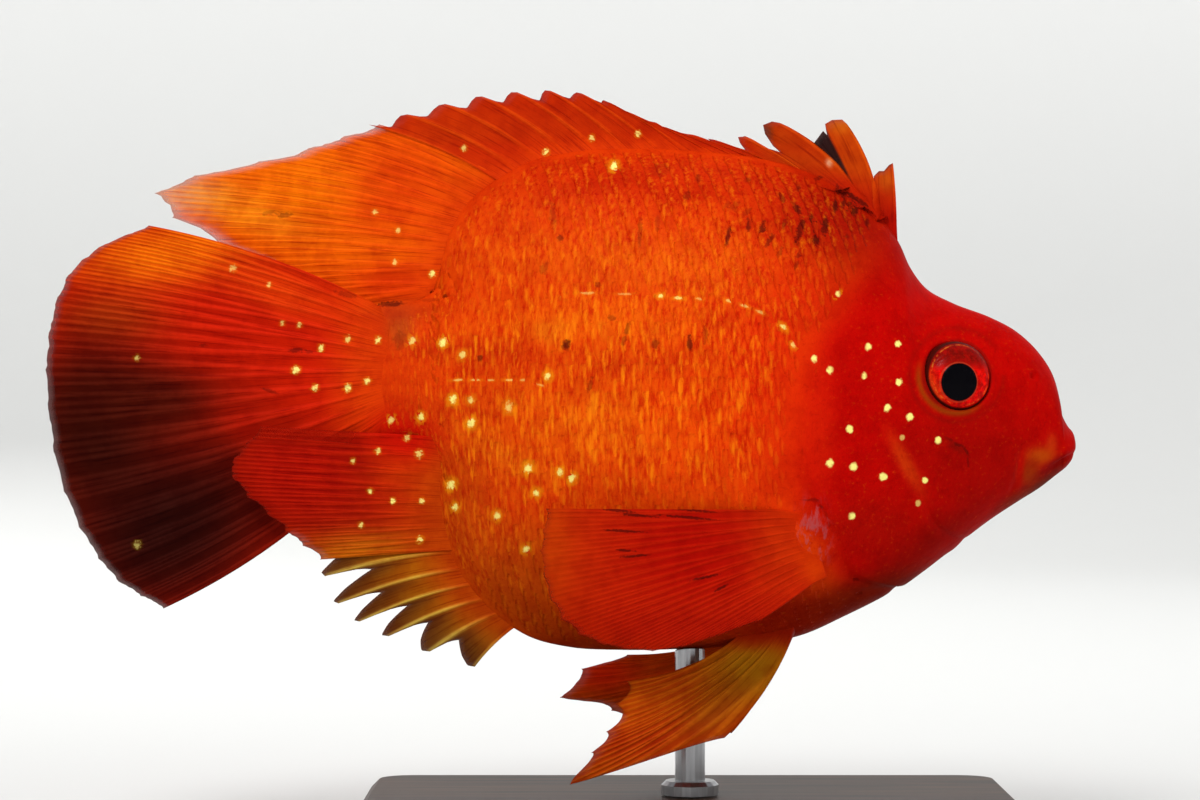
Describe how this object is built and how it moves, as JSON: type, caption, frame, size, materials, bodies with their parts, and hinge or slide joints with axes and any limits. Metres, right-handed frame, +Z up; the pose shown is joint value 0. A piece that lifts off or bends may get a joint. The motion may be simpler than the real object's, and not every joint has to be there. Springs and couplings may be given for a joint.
{
  "type": "blood parrot cichlid",
  "caption": "Still life-size model of a blood parrot cichlid, orange-red with pale spots and spread fins, held level by a plain display stand",
  "frame": {"origin": "centre of the underside of the stand's base", "axes": "+X toward the fish's head, -Y toward its right side, +Z up toward its back"},
  "size_m": [0.1504, 0.058, 0.111],
  "materials": {
    "skin": "wet-looking scaled skin, orange-red with a redder head and pale yellow spots",
    "fin": "thin rayed membrane, red to yellow-orange, darker and clearer at the tail's lower edge",
    "eye": "glossy, dark red iris round a black pupil",
    "stand_wood": "dark satin-lacquered wood",
    "stand_steel": "satin steel rod"
  },
  "bodies": {
    "root": {"anal_fin_soft": "fin", "anal_fin_spiny": "fin", "caudal_fin": "fin", "caudal_peduncle": "skin", "dorsal_fin_soft": "fin", "dorsal_fin_spiny": "fin", "eye_left": "eye", "eye_right": "eye", "gill_cover_left": "skin", "gill_cover_right": "skin", "head": "skin", "lower_jaw": "skin", "pectoral_fin_left": "fin", "pectoral_fin_right": "fin", "pelvic_fin_left": "fin", "pelvic_fin_right": "fin", "stand_base": "stand_wood", "stand_rod": "stand_steel", "trunk": "skin", "upper_jaw": "skin"}
  },
  "joints": []
}
